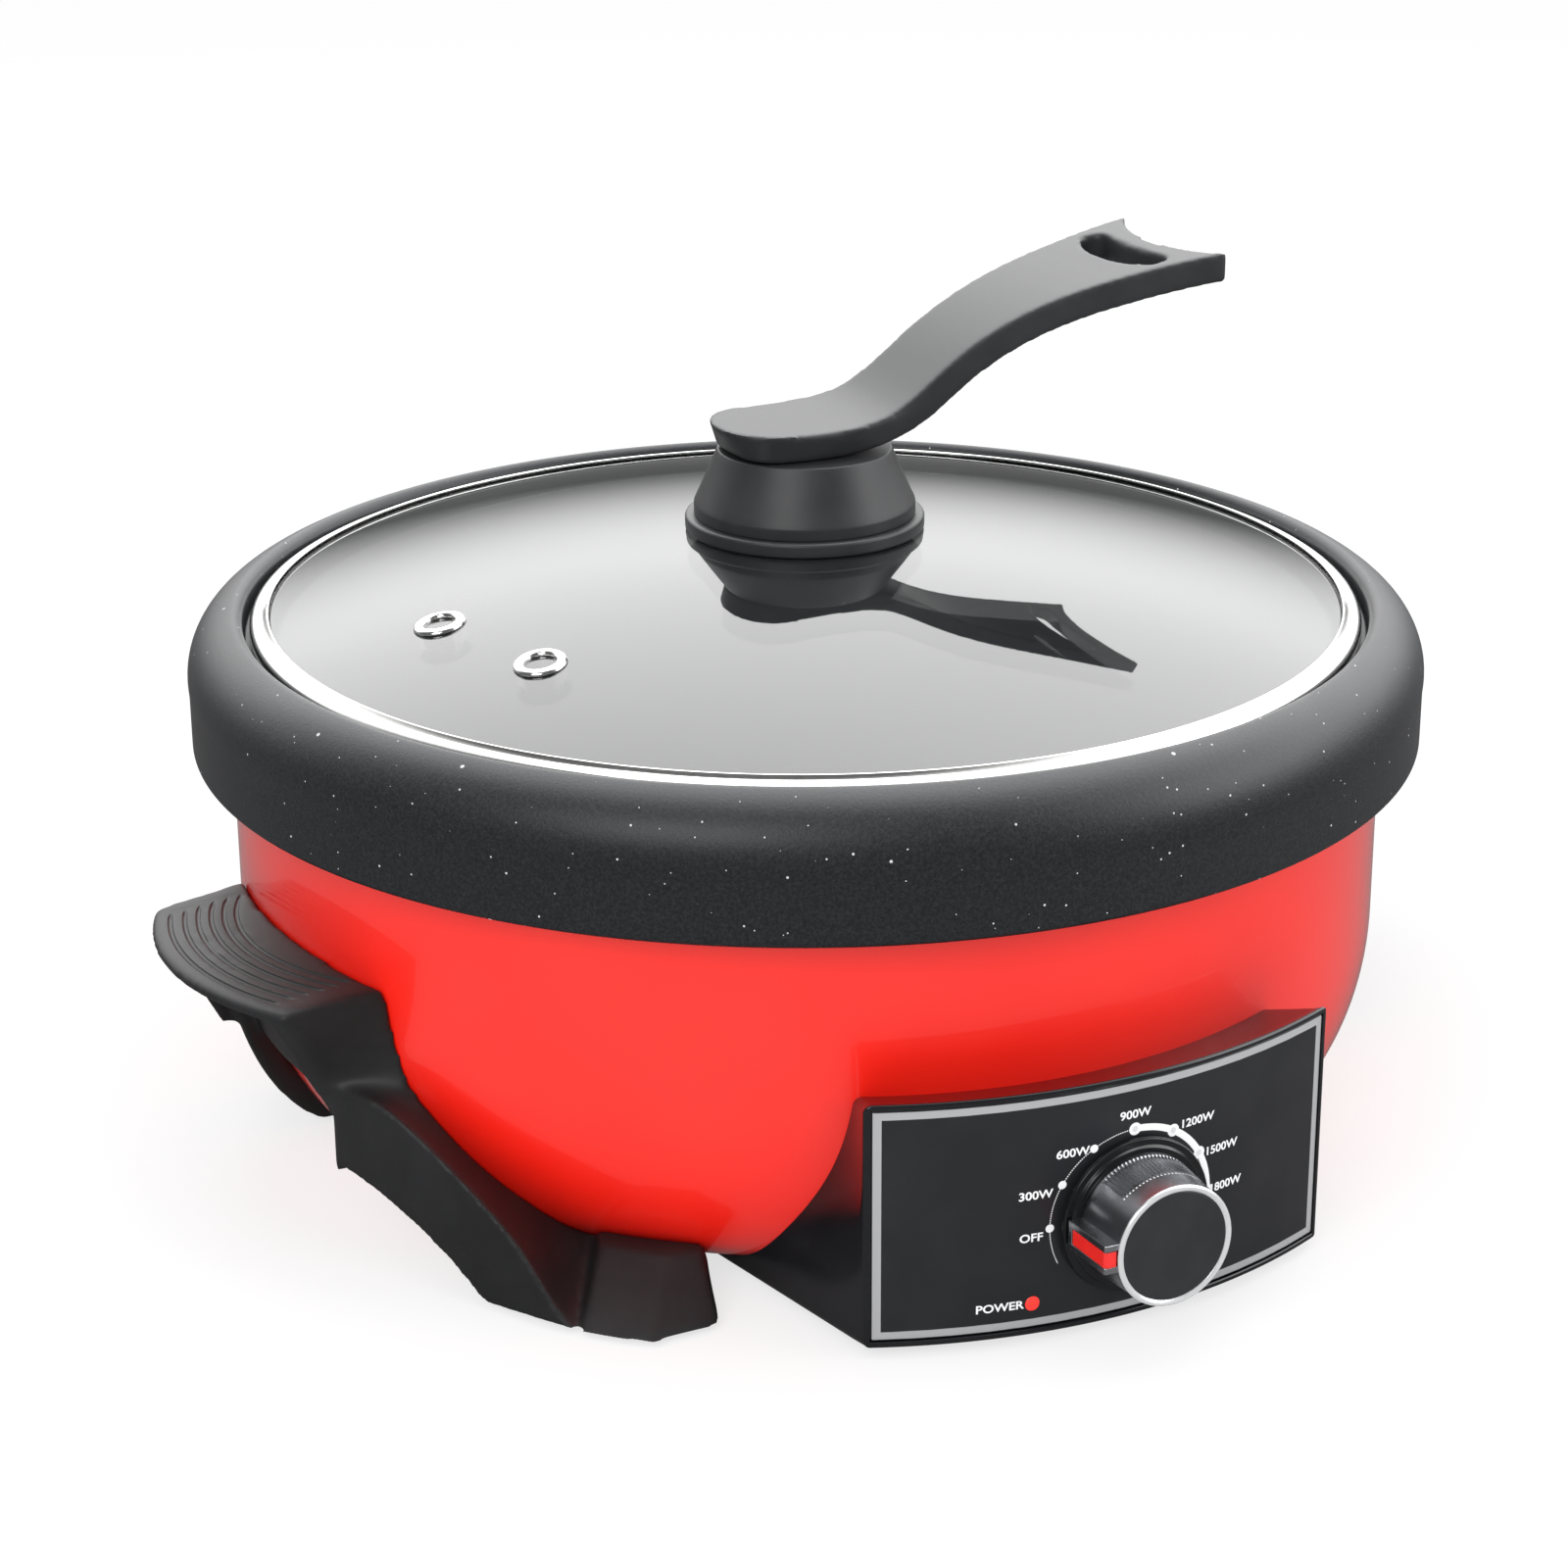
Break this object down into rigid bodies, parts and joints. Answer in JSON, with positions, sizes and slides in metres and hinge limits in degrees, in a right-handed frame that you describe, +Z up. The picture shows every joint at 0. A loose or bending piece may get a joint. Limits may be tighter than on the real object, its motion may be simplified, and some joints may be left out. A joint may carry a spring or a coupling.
{
  "type": "electric hot pot",
  "caption": "Round electric hot pot: cast pot with deep skirt in a bowl-shaped shell on two leg-and-handle frames, curved dial panel, domed glass lid with cranked bar knob.",
  "frame": {"origin": "bottom centre of the whole object's box, on the table", "axes": "+Z up; -Y is the front, where the control panel is; +X to the right seen from the front; the pot's axis is 15.3 mm behind the origin"},
  "size_m": [0.4008, 0.3868, 0.2411],
  "materials": {
    "pot_coating": "fine-grained non-stick coating",
    "lid_glass": "polished",
    "bright_steel": "polished",
    "silicone": "satin",
    "handle_plastic": "satin",
    "red_paint": "glossy baked enamel",
    "black_plastic": "matte",
    "housing_plastic": "glossy",
    "faceplate": "printed, semi-gloss",
    "knob_black": "semi-gloss",
    "knob_metallised": "metallised, satin",
    "pointer_red": "glossy",
    "lens_red": "translucent, glossy",
    "lamp_glass": "clear",
    "steel": "zinc-plated",
    "heater_steel": "heat-dulled",
    "cast_aluminium": "as cast, turned face",
    "sheet_aluminium": "mill finish",
    "white_plastic": "matte",
    "rubber": "matte"
  },
  "bodies": {
    "base": {"outer_shell": "red_paint", "shell_top_ring": "black_plastic", "base_cover": "black_plastic", "control_housing": "housing_plastic", "control_faceplate": "faceplate", "power_regulator": "black_plastic", "switch_nut": "steel", "indicator_lens": "lens_red", "indicator_lamp": "lamp_glass", "left_side_frame": "black_plastic", "right_side_frame": "black_plastic", "foot_pads": "rubber", "heating_plate": "cast_aluminium", "heating_element": "heater_steel", "heat_shield": "sheet_aluminium", "stand_offs": "steel", "sensor_spring": "steel", "sensor_bracket": "steel", "thermal_fuse": "white_plastic", "cord_outlet": "black_plastic", "cord_gland": "rubber", "terminal_block": "white_plastic", "frame_screws": "steel", "base_screws": "steel"},
    "pot": {"inner_pot": "pot_coating"},
    "lid": {"lid_glass": "lid_glass", "lid_rim_ring": "bright_steel", "vent_grommets": "bright_steel", "lid_knob_gasket": "silicone", "lid_knob_flange": "handle_plastic", "lid_knob_neck": "handle_plastic", "lid_handle": "handle_plastic", "lid_screw": "steel", "lid_cup_washer": "bright_steel"},
    "knob": {"knob_skirt": "knob_black", "knob_barrel": "knob_metallised", "knob_pointer": "pointer_red", "knob_trim_ring": "knob_metallised", "knob_cap": "knob_black", "switch_shaft": "steel"},
    "sensor": {"sensor_cup": "sheet_aluminium"}
  },
  "joints": [
    {"name": "pot_lift", "type": "slide", "parent": "base", "child": "pot", "axis": [0, 0, 1], "range_m": [0, 0.12]},
    {"name": "lid_lift", "type": "slide", "parent": "pot", "child": "lid", "axis": [0, 0, 1], "range_m": [0, 0.1]},
    {"name": "knob_turn", "type": "hinge", "parent": "base", "child": "knob", "pos_m": [0.0015, -0.18, 0.033], "axis": [0, 1, 0], "range_deg": [0, 180]},
    {"name": "sensor_press", "type": "slide", "parent": "base", "child": "sensor", "axis": [0, 0, 1], "range_m": [-0.003, 0], "stiffness_N_per_m": 300, "springref_m": 0.004, "deforming": ["sensor_spring"]}
  ]
}
